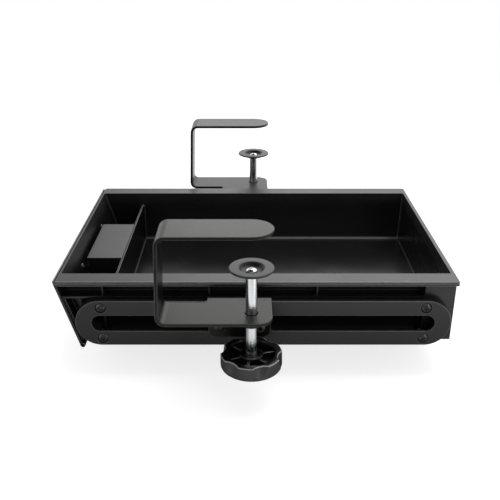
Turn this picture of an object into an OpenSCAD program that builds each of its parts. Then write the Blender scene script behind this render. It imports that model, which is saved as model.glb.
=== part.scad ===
// Clamp-on drawer that hangs under a desk top and slides on slotted rails.
// Millimetres. +X points to the drawer's rear, the pull side is -X, +Z is up.
// The right-hand side, as its user sits, is -Y. Z = 0 is the lower edge of the front panel.

/* [Tray] */
// Length of the rim, front to rear
rim_l = 369; // [320:1:420]
// Width of the rim, side to side
rim_w = 254; // [220:1:320]
// Height of the tub, bottom to rim top
tub_h = 62; // [58:0.5:80]
// Width of the rim along each long side
flange_w = 18; // [16:0.5:24]
// Thickness of the rim
flange_t = 2.5; // [1.5:0.1:4]
// Height of the lip round the rim's edge
lip_h = 4.5; // [3:0.1:7]
// Thickness of that lip
lip_t = 2; // [1:0.1:3]
// How far the rim stands out past the rear wall
rear_lip = 1.6; // [0.5:0.1:4]
// How far the rim stands out past the side blocks
side_lip = 3; // [2.2:0.1:5]
// Thickness of the side walls
wall_t = 2.4; // [1.5:0.1:4]
// Thickness of the rear wall at the rim
rear_wall_t = 2.2; // [1.5:0.1:4]
// How much thicker the rear wall is at the floor
rear_draft = 1.6; // [0:0.1:4]
// Thickness of the floor
floor_t = 3; // [2:0.1:5]
// Thickness of the webs outside the side walls
web_t = 2.4; // [1.5:0.1:4]
// Thickness of the ribs between the shelf and the rim
rib_t = 1.4; // [1:0.1:2.4]
// Radius where the floor meets the side walls
floor_r = 4; // [1:0.5:8]

/* [Front panel] */
// Lean of the front from upright, in degrees
slant = 16.4; // [8:0.1:22]
// Thickness of the front panel
panel_t = 2.4; // [2:0.1:4]
// Thickness of the tub's front wall behind it
front_wall_t = 2; // [1.5:0.1:4]
// How far the panel hangs below the tub
panel_drop = 7; // [4:0.5:15]
// Diameter of the bead along the panel's lower edge
bead_d = 4.6; // [3:0.1:7]

/* [Divider and pull cup] */
// Distance from the front edge of the rim to the divider's rear face
pen_l = 51; // [47:1:70]
// Thickness of the divider
divider_t = 2; // [1.5:0.1:4]
// Drop from the rim to the divider's top edge
divider_drop = 16.5; // [8:0.5:30]
// Outer width of the pull cup
cup_w = 90; // [70:1:120]
// Outer height of the pull cup
cup_h = 37.5; // [36:0.5:44]
// Drop from the rim to the top of the cup
cup_drop = 14; // [12:0.5:18]
// Space between the cup's back and the divider
cup_gap = 0.2; // [0.1:0.1:3]
// Wall thickness of the cup
cup_t = 2; // [1.2:0.1:3]
// How far the upper part of the cup stands back from the front wall
cup_step = 5; // [3:0.5:8]
// Height of the cup's mouth
mouth_h = 24; // [18:0.5:28]
// Corner radius of the cup's mouth
mouth_r = 5; // [2:0.5:9]
// Distance from the cup's sides to the screws beside it
cup_screw_side = 7; // [5:0.5:14]
// Drop from the rim to the upper screws
cup_screw_drop = 20.5; // [16:0.5:26]
// Height of the lower screws above the cup's bottom
cup_screw_up = 5; // [4:0.5:8]
// Size of the small ribs on the side walls that hold the divider's ends
guide_w = 1.2; // [0.8:0.1:2]

/* [Rails] */
// Distance from the rim's front edge to a rail's front end
rail_front = 19.3; // [17:0.1:26]
// Distance from a rail's rear end to the rim's rear edge
rail_rear = 5.7; // [3:0.1:12]
// Height of a rail
rail_h = 46; // [44:0.5:48]
// Thickness of the rail's face
rail_t = 3; // [2:0.1:4]
// Depth of the skirt that holds the face off the tub
skirt_d = 7; // [6.8:0.1:10]
// Thickness of that skirt
skirt_t = 3; // [2:0.1:4]
// Width of the slot
slot_w = 15.8; // [13:0.1:16.4]
// Distance from a slot end to the rail's end
slot_end = 15; // [14:0.5:20]
// Height of the rail's lower edge above the tub's bottom
rail_lift = 0; // [-1:0.5:2]
// Distance from a rail's long edges to its screws
rail_screw_edge = 7.2; // [6.6:0.1:8]
// Distance from a rail's ends to its screws
rail_screw_in = 24; // [20:0.5:30]

/* [Clamps] */
// Width of the clamp's steel strip
strip_w = 38; // [32:0.5:44]
// Thickness of the steel
steel_t = 3; // [2.5:0.1:4]
// Radius inside the bends
bend_r = 5.5; // [2:0.5:6]
// Height of the top jaw's upper face above the rim
jaw_rise = 71.5; // [60:0.5:90]
// Drop from the rim to the lower plate's upper face
plate_drop = 6.4; // [4:0.2:9]
// Distance from the foot of the upright's outer face to the screw
throat = 80; // [60:0.5:100]
// Lean of the upright towards the screw, in degrees
upright_lean = 2; // [0:0.5:4]
// Distance from the screw to the tip of the top jaw
tip_reach = 18.2; // [17:0.2:30]
// Distance from the screw to the end of the lower plate
plate_reach = 17.8; // [16:0.2:26]
// Width of the tab that turns down to the rollers
tab_w = 56.5; // [52:0.5:66]
// Radius of that tab's lower corners
tab_corner_r = 7; // [3:0.5:9]
// Distance from the axles to the lower edge of that tab
flange_below = 10.4; // [8:0.2:14]
// Distance from the screw to the outer face of the flange
rod_to_flange = 30.6; // [30:0.1:40]
// Radius of the lower plate's outer corner
plate_corner_r = 12.5; // [4:0.5:16]
// Radius in the corner between the lower plate and the tab
notch_r = 4; // [2:0.5:6]
// Place of the right-hand screw along the rail, from the rim's middle
right_rod_x = -4.3; // [-60:0.1:60]
// Place of the left-hand screw along the rail, from the rim's middle
left_rod_x = 0.4; // [-60:0.1:60]

/* [Rollers] */
// Distance between the two rollers of a clamp
roller_pitch = 35.8; // [32:0.2:40]
// How far a roller's flange laps over the rail at each side of the slot
roller_lap = 2.6; // [1.5:0.1:4]
// Thickness of a roller's flange
roller_flange_t = 3.3; // [2:0.1:5]
// Diameter of the axle bolts
axle_d = 6; // [5:0.1:7]
// Diameter of the axle bolts' heads
axle_head_d = 11; // [9:0.5:12]
// Height of the axle bolts' heads
axle_head_h = 2.6; // [2:0.1:3]
// Width across the flats of the socket in those heads
axle_key_af = 4; // [3:0.5:5]
// How far the washers behind the rail lap over it at each side of the slot
washer_lap = 2.1; // [1:0.1:2.6]
// Thickness of those washers
washer_t = 1.6; // [1:0.1:2]
// Width across the flats of the lock nuts
lock_nut_af = 10; // [9:0.5:12]
// Height of the lock nuts
lock_nut_h = 3.2; // [2.5:0.1:3.4]

/* [Clamp screws] */
// Diameter of the screw
screw_d = 10; // [8:0.5:12]
// Distance from the pad's top to the knob's top
screw_reach = 82; // [76:0.5:92]
// Space between the right-hand pad and its jaw
right_desk_gap = 32; // [20:0.5:50]
// Space between the left-hand pad and its jaw
left_desk_gap = 36; // [20:0.5:50]
// Width across the flats of the weld nut
weld_nut_af = 17; // [15:0.5:20]
// Height of the weld nut
weld_nut_h = 8; // [6:0.5:10]

/* [Pads and knobs] */
// Diameter of a pad
pad_d = 38; // [30:0.5:44]
// Height of a pad
pad_h = 6; // [5.6:0.1:9]
// Thickness of a pad's edge
pad_edge = 2.2; // [1.5:0.1:3]
// Chamfer on that edge
pad_chamfer = 0.6; // [0.2:0.1:0.7]
// Diameter of the recess in a pad
pad_recess_d = 21; // [18:0.5:24]
// Depth of that recess
pad_recess = 3.5; // [3.2:0.1:5]
// Diameter of the flat under a pad, where the screw's shoulder bears
pad_hub_d = 16; // [13:0.5:18]
// Diameter of the spigot that a pad turns on
spigot_d = 6; // [5:0.1:7]
// Diameter of the pad screw's head
pad_screw_d = 9.5; // [8:0.5:11]
// Height of the pad screw's head
pad_screw_h = 2.5; // [1.5:0.1:3]
// Diameter of a knob
knob_d = 54; // [46:0.5:55]
// Height of a knob
knob_h = 13.5; // [12:0.5:18]
// Number of lobes round a knob
knob_lobes = 6; // [5:1:8]
// Depth at the top of the flutes between the lobes, which run out at the bottom
lobe_depth = 3.3; // [1:0.1:4]
// Radius of those flutes
lobe_r = 13; // [9:0.5:16]
// How far a knob is turned, in degrees
knob_turn = 41.5; // [0:0.5:60]
// Chamfer round a knob's bottom
knob_foot = 2; // [0.5:0.1:3]
// Wall thickness of a knob
knob_t = 3; // [2:0.1:4]
// Thickness of a knob's bottom
knob_base_t = 4; // [3:0.5:6]
// Diameter of a knob's hub
knob_hub_d = 21; // [20:0.5:24]
// How far the hub ends below the knob's top
knob_hub_drop = 1; // [0:0.5:3]
// How far the ribs end below the knob's top
knob_rib_drop = 3; // [1:0.5:6]
// Thickness of a knob's ribs
knob_rib_t = 2; // [1.2:0.1:3]
// Width across the flats of the jam nut
jam_nut_af = 16; // [14:0.5:17]
// Height of the jam nut
jam_nut_h = 4.5; // [3:0.5:6]
// How far the jam nut stands out of the knob's hub
jam_nut_proud = 0.4; // [0.2:0.1:1]

/* [Screws and fits] */
// Diameter of the rail screws' heads
head_d = 9.4; // [8:0.2:10]
// Height of the rail screws' heads
head_h = 2.6; // [2:0.1:3.4]
// Depth of the seat that a rail screw's head sinks into
seat_depth = 1.4; // [0.8:0.1:2]
// Diameter of the rail screws
shank_d = 4; // [3:0.1:5]
// Length of the rail screws under the head
shank_l = 16; // [14:0.5:18]
// Diameter of the cup screws' heads
cup_head_d = 6.6; // [5:0.2:8]
// Diameter of the cup screws
cup_shank_d = 3; // [2.5:0.1:3.6]
// How far the cup screws bite into the front panel
cup_bite = 1.6; // [1:0.1:1.8]
// Gap at each side of a piece that rolls or slides
run_gap = 0.3; // [0.2:0.05:0.5]
// Radial clearance of a running bore
bore_gap = 0.05; // [0.02:0.01:0.1]

/* [Hidden] */
$fn = 64;
eps = 0.01;
cut = 1;

// Steps in a quarter turn of the bent strip
bend_steps = 10;

// Cross recess of the screws, as shares of the head's diameter and height
cross_span = 0.5;
cross_slot = 0.11;
cross_depth = 0.55;

// Heights
tub_z = panel_drop;
rim_z = tub_z + tub_h;
floor_z = tub_z + floor_t;
rail_z = tub_z + rail_lift + rail_h / 2;
shelf_z = rail_z + rail_h / 2;
plate_z = rim_z - plate_drop;
jaw_z = rim_z + jaw_rise;
flange_z = rail_z - flange_below;

// Places along X
rear_x = rim_l / 2 - rear_lip;
lean = tan(slant);
panel_x = panel_t / cos(slant);
front_wall_x = front_wall_t / cos(slant);
divider_x = pen_l - rim_l / 2;
rail_l = rim_l - rail_front - rail_rear;
rail_shift = (rail_front - rail_rear) / 2;
rail_screw_x = rail_l / 2 - rail_screw_in;
rail_screw_z = rail_h / 2 - rail_screw_edge;
slot_l = rail_l - 2 * slot_end;
tab_mid = plate_reach - tab_w / 2;
roller_d = slot_w - 2 * run_gap;
roller_flange_d = slot_w + 2 * roller_lap;
washer_d = slot_w + 2 * washer_lap;

// Places outward from the drawer's middle, the same for both sides
inner_y = rim_w / 2 - flange_w;
side_y = rim_w / 2 - side_lip;
rail_back_y = side_y + skirt_d;
rail_face_y = rail_back_y + rail_t;
roller_out_y = rail_face_y + run_gap + roller_flange_t;
flange_back_y = roller_out_y + run_gap;
flange_out_y = flange_back_y + steel_t;
rod_y = flange_out_y + rod_to_flange;
washer_out_y = rail_back_y - run_gap;
washer_in_y = washer_out_y - washer_t;
lock_nut_in_y = washer_in_y - lock_nut_h;

// Pads, screws and knobs, from a pad's top at zero
spigot_z = -pad_recess + run_gap;
shoulder_z = -pad_h - run_gap;
hub_top = -screw_reach - knob_hub_drop;
rod_end = -screw_reach - knob_h + knob_base_t / 2;
cavity_r = knob_d / 2 - lobe_depth - knob_t;

// Pull cup
cup_top = rim_z - cup_drop;
cup_bottom = cup_top - cup_h;
mouth_bottom = cup_bottom + cup_t;
cup_back = divider_x - divider_t - cup_gap;
cup_screw_y = cup_w / 2 + cup_screw_side;
cup_screw_z = [rim_z - cup_screw_drop, cup_bottom + cup_screw_up];
divider_z = rim_z - divider_drop;

// Outer face of the front panel at a height
function front_x(z) = -rim_l / 2 + (rim_z - z) * lean;

// A slab bounded by the leaning front and by a straight rear end
module slab(z0, z1, inset, x1, half_w) {
    rotate([90, 0, 0])
        linear_extrude(2 * half_w, center = true)
            polygon([
                [front_x(z0) + inset, z0], [x1, z0],
                [x1, z1], [front_x(z1) + inset, z1]
            ]);
}

// A flat plate with round ends, centred, in the XY plane
module stadium(l, w) {
    square([l - w, w], center = true);
    for (s = [-1, 1])
        translate([s * (l - w) / 2, 0])
            circle(d = w);
}

// A hexagon by its width across the flats
module hexagon(af) {
    circle(d = af / cos(30), $fn = 6);
}

// Turns a shape drawn in XY, extruded along Z, to lie in XZ and grow outward along Y
module outward(y) {
    translate([0, y, 0])
        rotate([-90, 0, 0])
            mirror([0, 1, 0])
                children();
}

// Draws for the left side, or mirrored for the right side
module on_side(right) {
    mirror([0, right ? 1 : 0, 0])
        children();
}

// Both screws of a rail end at both ends, in the rail's own XY
module rail_screw_places() {
    for (sx = [-1, 1])
        for (sz = [-1, 1])
            translate([sx * rail_screw_x, sz * rail_screw_z])
                children();
}

// The two axles of a clamp, in XZ
module axle_places(rod_x) {
    for (s = [-1, 1])
        translate([rod_x + tab_mid + s * roller_pitch / 2, 0, rail_z])
            children();
}

// Section across the inside of the tub, up to a height, with its floor rounded into the side walls
module trough(top) {
    y = inner_y - floor_r;
    for (s = [-1, 1])
        translate([s * y, floor_z + floor_r])
            circle(floor_r);
    translate([-y, floor_z])
        square([2 * y, top - floor_z]);
    translate([-inner_y, floor_z + floor_r])
        square([2 * inner_y, top - floor_z - floor_r]);
}

// Cavity of the tub, between the leaning front wall and the drafted rear wall
module tub_cavity() {
    top = rim_z + cut;
    draft = rear_draft / (rim_z - floor_z);
    face = panel_x + front_wall_x;
    rear = rear_x - rear_wall_t;
    intersection() {
        rotate([90, 0, 0])
            linear_extrude(2 * inner_y, center = true)
                polygon([
                    [front_x(floor_z) + face, floor_z], [rear - rear_draft, floor_z],
                    [rear + cut * draft, top], [front_x(top) + face, top]
                ]);
        translate([-rim_l, 0, 0])
            rotate([90, 0, 90])
                linear_extrude(2 * rim_l)
                    trough(top);
    }
}

// Hollow block that carries one end of a rail, open below.
// The front one ends at the shelf and is open outward too.
module end_block(front) {
    edge = rail_shift + (front ? web_t - rail_screw_x : rail_screw_x);
    y0 = inner_y + wall_t - eps;
    top = front ? shelf_z : rim_z - eps;
    ceiling = front ? shelf_z - web_t : rim_z - flange_t;
    inside_y = side_y + (front ? cut : -web_t);
    difference() {
        intersection() {
            slab(tub_z, top, panel_x, rear_x, side_y);
            translate([front ? -rim_l : edge, y0, 0])
                cube([rim_l + (front ? edge : 0), side_y - y0, rim_z]);
        }
        intersection() {
            slab(tub_z - cut, ceiling, panel_x + front_wall_x, rear_x - rear_wall_t, inside_y);
            translate([front ? -rim_l : edge + web_t, inner_y + wall_t, 0])
                cube([rim_l + (front ? edge - web_t : 0), side_y, rim_z]);
        }
    }
}

// Shelf, ribs, end blocks and screw bosses outside one long side wall
module side_frame() {
    y0 = inner_y + wall_t - eps;
    rib_x = [web_t / 2 - rail_screw_x, -rail_screw_x / 3, rail_screw_x / 3];
    for (front = [true, false])
        end_block(front);
    for (x = rib_x)
        translate([rail_shift + x - rib_t / 2, y0, shelf_z - eps])
            cube([rib_t, side_y - y0, rim_z - shelf_z]);
    translate([rail_shift - rail_screw_x, y0, shelf_z - web_t])
        cube([2 * rail_screw_x + eps, side_y - y0, web_t]);
    translate([rail_shift, 0, rail_z])
        outward(inner_y + wall_t - eps)
            linear_extrude(side_y - inner_y - wall_t + eps)
                rail_screw_places()
                    circle(d = head_d);
}

// Small ribs on the side walls behind the divider
module divider_guides() {
    for (s = [-1, 1])
        translate([divider_x, s * (inner_y - guide_w / 2) - guide_w / 2 - eps, floor_z])
            cube([guide_w, guide_w + 2 * eps, divider_z + guide_w - floor_z]);
}

// Opening for the fingers, through the panel and the front wall
module pull_mouth(x1) {
    w = cup_w - 2 * cup_t;
    translate([-rim_l, 0, mouth_bottom + mouth_h / 2])
        rotate([90, 0, 90])
            linear_extrude(rim_l + x1) {
                square([w - 2 * mouth_r, mouth_h], center = true);
                square([w, mouth_h - 2 * mouth_r], center = true);
                for (sy = [-1, 1])
                    for (sz = [-1, 1])
                        translate([sy * (w / 2 - mouth_r), sz * (mouth_h / 2 - mouth_r)])
                            circle(mouth_r);
            }
}

// Holes or shanks of the screws beside the cup, square to the leaning front
module cup_screw_places() {
    for (sy = [-1, 1])
        for (z = cup_screw_z)
            translate([front_x(z) + panel_x + front_wall_x, sy * cup_screw_y, z])
                rotate([0, 90 - slant, 0])
                    children();
}

module tray_tub() {
    color("#1d1d1e") {
        difference() {
            union() {
                slab(tub_z, rim_z - flange_t + eps, panel_x, rear_x, inner_y + wall_t);
                slab(rim_z - flange_t, rim_z, panel_x, rim_l / 2, rim_w / 2);
                difference() {
                    slab(rim_z - lip_h, rim_z - eps, panel_x, rim_l / 2, rim_w / 2);
                    slab(rim_z - lip_h - cut, rim_z, panel_x - cut, rim_l / 2 - lip_t, rim_w / 2 - lip_t);
                }
                for (right = [true, false])
                    on_side(right)
                        side_frame();
            }
            tub_cavity();
            pull_mouth(divider_x);
            cup_screw_places()
                cylinder(d = cup_shank_d, h = 2 * front_wall_t + cut, center = true);
            for (right = [true, false])
                on_side(right)
                    translate([rail_shift, 0, rail_z])
                        outward(rail_face_y - seat_depth - shank_l - run_gap)
                            linear_extrude(shank_l)
                                rail_screw_places()
                                    circle(d = shank_d);
        }
        divider_guides();
    }
}

// Leaning plate whose lower edge ends in a round bead, flush with its outer face
module front_panel() {
    bead_z = bead_d / 2;
    bead_x = front_x(bead_z) + bead_d / 2 / cos(slant);
    color("#202021")
        difference() {
            rotate([90, 0, 0])
                linear_extrude(rim_w, center = true) {
                    polygon([
                        [front_x(bead_z), bead_z], [front_x(bead_z) + panel_x, bead_z],
                        [front_x(rim_z) + panel_x, rim_z], [front_x(rim_z), rim_z]
                    ]);
                    translate([bead_x, bead_z])
                        circle(d = bead_d);
                }
            pull_mouth(divider_x);
            cup_screw_places()
                translate([0, 0, -front_wall_t - cup_bite])
                    cylinder(d = cup_shank_d, h = front_wall_t);
        }
}

// Box for the fingers. It is closed against the front wall, and its upper part stands back from it.
module pull_cup() {
    x0 = panel_x + front_wall_x;
    step_z = mouth_bottom + mouth_h + cup_t;
    inside_x = x0 + cup_step + cup_t / cos(slant);
    color("#19191a")
        difference() {
            union() {
                slab(cup_bottom, step_z, x0, cup_back, cup_w / 2);
                slab(step_z - eps, cup_top, x0 + cup_step, cup_back, cup_w / 2);
            }
            pull_mouth(cup_back - cup_t);
            slab(step_z - mouth_h / 2, cup_top - cup_t, inside_x, cup_back - cup_t, cup_w / 2 - cup_t);
        }
}

module divider() {
    color("#1d1d1e")
        translate([divider_x - divider_t, 0, 0])
            rotate([90, 0, 90])
                linear_extrude(divider_t)
                    trough(divider_z);
}

// A screw with a low round head and a cross recess, head upward from zero
module cross_screw(d, h, shank, l) {
    difference() {
        union() {
            intersection() {
                cylinder(d = d, h = h);
                translate([0, 0, h - d])
                    sphere(r = d);
            }
            translate([0, 0, -l])
                cylinder(d = shank, h = l + eps);
        }
        for (a = [0, 90])
            rotate([0, 0, a])
                translate([-d * cross_span / 2, -d * cross_slot / 2, h * (1 - cross_depth)])
                    cube([d * cross_span, d * cross_slot, h]);
    }
}

module cup_screws() {
    color("#2a2a2b")
        cup_screw_places()
            cross_screw(cup_head_d, cup_head_d / 4, cup_shank_d, front_wall_t + cup_bite);
}

module rail() {
    color("#232324")
        translate([rail_shift, 0, rail_z])
            outward(side_y)
                difference() {
                    union() {
                        linear_extrude(skirt_d + rail_t)
                            difference() {
                                stadium(rail_l, rail_h);
                                stadium(rail_l - 2 * skirt_t, rail_h - 2 * skirt_t);
                            }
                        translate([0, 0, skirt_d])
                            linear_extrude(rail_t)
                                difference() {
                                    stadium(rail_l, rail_h);
                                    stadium(slot_l, slot_w);
                                }
                        linear_extrude(skirt_d + eps)
                            intersection() {
                                stadium(rail_l, rail_h);
                                rail_screw_places()
                                    circle(d = head_d);
                            }
                    }
                    translate([0, 0, -cut])
                        linear_extrude(skirt_d + rail_t + 2 * cut)
                            rail_screw_places()
                                circle(d = shank_d);
                    translate([0, 0, skirt_d + rail_t - seat_depth])
                        linear_extrude(seat_depth + cut)
                            rail_screw_places()
                                circle(d = head_d + 2 * run_gap);
                }
}

module rail_screws() {
    color("#303031")
        translate([rail_shift, 0, rail_z])
            outward(rail_face_y - seat_depth)
                rail_screw_places()
                    cross_screw(head_d, head_h, shank_d, shank_l);
}

// Points of an arc round a centre, from one angle to another
function arc(x, z, r, a0, a1) = [
    for (i = [0 : bend_steps])
        let (a = a0 + (a1 - a0) * i / bend_steps)
            [x + r * cos(a), z + r * sin(a)]
];

// Outline of the bent strip seen from the side, in XZ. Its upright leans over the plate.
module strip_outline(rod_x) {
    r = bend_r + steel_t;
    xc = rod_x - throat + r;
    x1 = rod_x + max(tip_reach, plate_reach) + cut;
    low = plate_z - steel_t + r;
    high = jaw_z - r;
    outline = concat(
        [[x1, plate_z - steel_t]], arc(xc, low, r, 270, 180), arc(xc, high, r, 180, 90),
        [[x1, jaw_z], [x1, jaw_z - steel_t]],
        arc(xc, high, bend_r, 90, 180), arc(xc, low, bend_r, 180, 270), [[x1, plate_z]]
    );
    polygon([for (p = outline) [p.x + (p.y - plate_z) * tan(upright_lean), p.y]]);
}

// Plan of the top jaw with its half-round tip
module jaw_plan(rod_x) {
    x0 = rod_x - throat - cut;
    x1 = rod_x + tip_reach - strip_w / 2;
    translate([x0, rod_y - strip_w / 2])
        square([x1 - x0, strip_w]);
    translate([x1, rod_y])
        circle(d = strip_w);
}

// Plan of the lower plate: one outer corner is round
module plate_plan(rod_x) {
    x0 = rod_x - throat - cut;
    x1 = rod_x + plate_reach;
    y0 = rod_y - strip_w / 2;
    r = plate_corner_r;
    translate([x0, y0])
        square([x1 - x0 - r, strip_w]);
    translate([x0, y0])
        square([x1 - x0, strip_w - r]);
    translate([x1 - r, y0 + strip_w - r])
        circle(r);
}

// Tab that runs in from the lower plate and turns down beside the rail
module tab_outline() {
    yc = flange_out_y + bend_r;
    zc = plate_z - steel_t - bend_r;
    translate([yc, plate_z - steel_t])
        square([rod_y - strip_w / 2 - yc + cut, steel_t]);
    translate([flange_back_y, flange_z])
        square([steel_t, zc - flange_z]);
    intersection() {
        translate([yc, zc])
            difference() {
                circle(bend_r + steel_t);
                circle(bend_r);
            }
        translate([flange_back_y - cut, zc])
            square([yc - flange_back_y + cut, bend_r + steel_t + cut]);
    }
}

// Fillet where the tab's edge meets the lower plate
module notch_fillet(tab_x) {
    translate([tab_x - notch_r, rod_y - strip_w / 2 - notch_r, plate_z - steel_t])
        linear_extrude(steel_t)
            difference() {
                square(notch_r + eps);
                circle(notch_r);
            }
}

module clamp_bracket(rod_x) {
    mid_z = (plate_z + jaw_z) / 2;
    tab_x = rod_x + tab_mid - tab_w / 2;
    color("#262626")
        difference() {
            union() {
                intersection() {
                    translate([0, rod_y, 0])
                        rotate([90, 0, 0])
                            linear_extrude(strip_w, center = true)
                                strip_outline(rod_x);
                    union() {
                        translate([0, 0, mid_z])
                            linear_extrude(jaw_z)
                                jaw_plan(rod_x);
                        linear_extrude(mid_z + eps)
                            plate_plan(rod_x);
                    }
                }
                difference() {
                    translate([tab_x, 0, 0])
                        rotate([90, 0, 90])
                            linear_extrude(tab_w)
                                tab_outline();
                    for (s = [0, 1])
                        translate([tab_x + s * tab_w, 0, flange_z])
                            mirror([s, 0, 0])
                                outward(flange_back_y - cut)
                                    linear_extrude(steel_t + 2 * cut)
                                        difference() {
                                            translate([-cut, -cut])
                                                square(tab_corner_r + cut);
                                            translate([tab_corner_r, tab_corner_r])
                                                circle(tab_corner_r);
                                        }
                }
                notch_fillet(tab_x);
            }
            translate([rod_x, rod_y, plate_z])
                cylinder(d = screw_d + 4 * run_gap, h = 3 * steel_t, center = true);
            axle_places(rod_x)
                outward(flange_back_y - cut)
                    cylinder(d = axle_d, h = steel_t + 2 * cut);
        }
}

module weld_nut(rod_x) {
    color("#2b2b2b")
        translate([rod_x, rod_y, plate_z - steel_t - weld_nut_h])
            difference() {
                linear_extrude(weld_nut_h)
                    hexagon(weld_nut_af);
                translate([0, 0, -cut])
                    cylinder(d = screw_d + 2 * bore_gap, h = weld_nut_h + 2 * cut);
            }
}

// Flanged nylon roller: the tread runs in the slot, the flange against the rail's face
module roller(rod_x, rear) {
    tread_in = washer_out_y + run_gap / 2;
    bore_r = axle_d / 2 + bore_gap;
    flange_in = rail_face_y + run_gap;
    edge_r = 0.6;
    color("#d8d6cf")
        translate([rod_x + tab_mid + (rear ? 1 : -1) * roller_pitch / 2, 0, rail_z])
            outward(0)
                rotate_extrude()
                    polygon([
                        [bore_r, tread_in], [roller_d / 2 - edge_r, tread_in],
                        [roller_d / 2, tread_in + edge_r], [roller_d / 2, flange_in],
                        [roller_flange_d / 2 - edge_r, flange_in],
                        [roller_flange_d / 2, flange_in + edge_r],
                        [roller_flange_d / 2, roller_out_y - edge_r],
                        [roller_flange_d / 2 - edge_r, roller_out_y], [bore_r, roller_out_y]
                    ]);
}

module axle_bolts(rod_x) {
    tail = lock_nut_in_y - run_gap;
    color("#2b2b2b")
        axle_places(rod_x)
            outward(tail) {
                cylinder(d = axle_d, h = flange_out_y - tail + eps);
                translate([0, 0, flange_out_y - tail])
                    difference() {
                        intersection() {
                            cylinder(d = axle_head_d, h = axle_head_h);
                            translate([0, 0, axle_head_h - axle_head_d])
                                sphere(r = axle_head_d);
                        }
                        translate([0, 0, axle_head_h / 2])
                            linear_extrude(axle_head_h)
                                hexagon(axle_key_af);
                    }
            }
}

module axle_washers(rod_x) {
    color("#8d8f91")
        axle_places(rod_x)
            outward(washer_in_y)
                difference() {
                    cylinder(d = washer_d, h = washer_t);
                    translate([0, 0, -cut])
                        cylinder(d = axle_d, h = washer_t + 2 * cut);
                }
}

module lock_nuts(rod_x) {
    color("#9a9c9e")
        axle_places(rod_x)
            outward(lock_nut_in_y)
                difference() {
                    linear_extrude(lock_nut_h)
                        hexagon(lock_nut_af);
                    translate([0, 0, -cut])
                        cylinder(d = axle_d, h = lock_nut_h + 2 * cut);
                }
}

// Places a screw assembly with its pad's top at zero
module at_pad(rod_x, desk_gap) {
    translate([rod_x, rod_y, jaw_z - steel_t - desk_gap])
        children();
}

// Dished pad that turns freely on the screw's spigot
module pad(rod_x, desk_gap) {
    r = pad_d / 2;
    recess_r = pad_recess_d / 2;
    floor_edge = recess_r - pad_recess / 2;
    hub_r = pad_hub_d / 2;
    color("#1f1f20")
        at_pad(rod_x, desk_gap)
            rotate_extrude()
                polygon([
                    [spigot_d / 2 + bore_gap, -pad_h], [hub_r, -pad_h], [r - pad_edge, -pad_edge],
                    [r, -pad_edge + pad_chamfer], [r, -pad_chamfer], [r - pad_chamfer, 0],
                    [recess_r, 0], [floor_edge, -pad_recess],
                    [spigot_d / 2 + bore_gap, -pad_recess]
                ]);
}

module clamp_screw(rod_x, desk_gap) {
    color("#c9ccd0")
        at_pad(rod_x, desk_gap)
            rotate_extrude()
                polygon([
                    [0, rod_end], [screw_d / 2, rod_end],
                    [screw_d / 2, shoulder_z], [spigot_d / 2, shoulder_z],
                    [spigot_d / 2, spigot_z], [0, spigot_z]
                ]);
}

module pad_screw(rod_x, desk_gap) {
    color("#d5d7da")
        at_pad(rod_x, desk_gap)
            translate([0, 0, spigot_z])
                cross_screw(pad_screw_d, pad_screw_h, spigot_d / 2, 0);
}

module jam_nut(rod_x, desk_gap) {
    color("#c4c6c9")
        at_pad(rod_x, desk_gap)
            translate([0, 0, hub_top + jam_nut_proud - jam_nut_h])
                difference() {
                    linear_extrude(jam_nut_h)
                        hexagon(jam_nut_af);
                    translate([0, 0, -cut])
                        cylinder(d = screw_d, h = jam_nut_h + 2 * cut);
                }
}

// Lobed knob, hollow from above, with ribs from its hub to its lobes. Its flutes run out at the bottom.
module knob(rod_x, desk_gap) {
    r = knob_d / 2;
    rib_h = knob_h - knob_base_t - knob_rib_drop;
    hub_h = knob_h - knob_hub_drop;
    flute_tilt = atan(lobe_depth / knob_h);
    color("#191919")
        at_pad(rod_x, desk_gap)
            translate([0, 0, -screw_reach - knob_h])
                rotate([0, 0, knob_turn])
                    difference() {
                        union() {
                            difference() {
                                union() {
                                    cylinder(r1 = r - knob_foot, r2 = r, h = knob_foot);
                                    translate([0, 0, knob_foot])
                                        cylinder(r = r, h = knob_h - knob_foot);
                                }
                                for (i = [0 : knob_lobes - 1])
                                    rotate([0, 0, (i + 0.5) * 360 / knob_lobes])
                                        translate([r + lobe_r - lobe_depth, 0, knob_h])
                                            rotate([0, -flute_tilt, 0])
                                                cylinder(r = lobe_r, h = 4 * knob_h, center = true);
                                translate([0, 0, knob_base_t])
                                    cylinder(r = cavity_r, h = knob_h);
                            }
                            cylinder(d = knob_hub_d, h = hub_h);
                            for (i = [0 : knob_lobes - 1])
                                rotate([0, 0, i * 360 / knob_lobes])
                                    translate([0, -knob_rib_t / 2, knob_base_t - eps])
                                        cube([cavity_r + eps, knob_rib_t, rib_h]);
                        }
                        translate([0, 0, knob_base_t / 2])
                            cylinder(d = screw_d, h = knob_h);
                        translate([0, 0, hub_h + jam_nut_proud - jam_nut_h])
                            rotate([0, 0, -knob_turn])
                                linear_extrude(jam_nut_h)
                                    hexagon(jam_nut_af + 2 * bore_gap);
                    }
}

tray_tub();
front_panel();
pull_cup();
divider();
cup_screws();

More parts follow.
